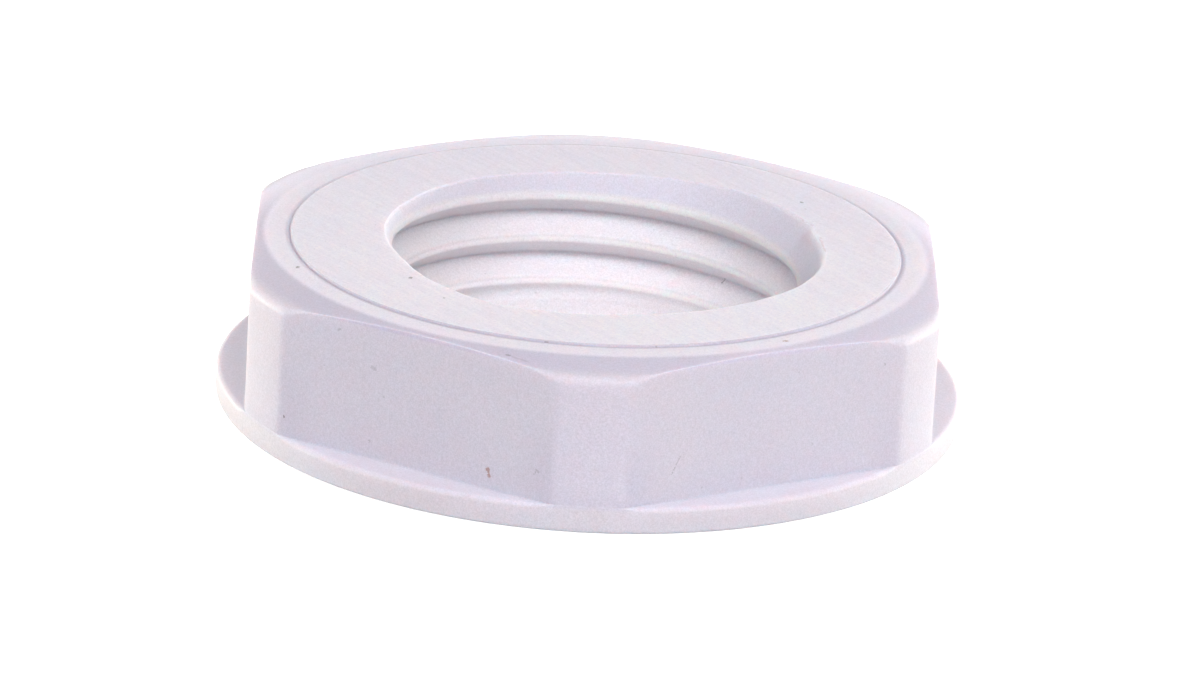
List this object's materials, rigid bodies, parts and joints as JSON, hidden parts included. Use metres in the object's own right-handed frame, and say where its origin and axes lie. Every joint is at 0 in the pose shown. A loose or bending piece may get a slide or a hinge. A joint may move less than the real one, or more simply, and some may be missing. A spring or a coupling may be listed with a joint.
{
  "type": "cable gland locknut",
  "caption": "Plastic hexagonal locknut with a thin round collar and a fine internal thread, for clamping a cable gland in a box wall.",
  "frame": {"origin": "centre of the flat seating face under the collar", "axes": "+Z along the thread, from the seating face up to the bevelled face; one corner of the hexagon points to -Y"},
  "size_m": [0.0208, 0.0208, 0.0047],
  "materials": {
    "nut": "matt, pale lilac grey"
  },
  "bodies": {
    "root": {"locknut": "nut"}
  },
  "joints": []
}
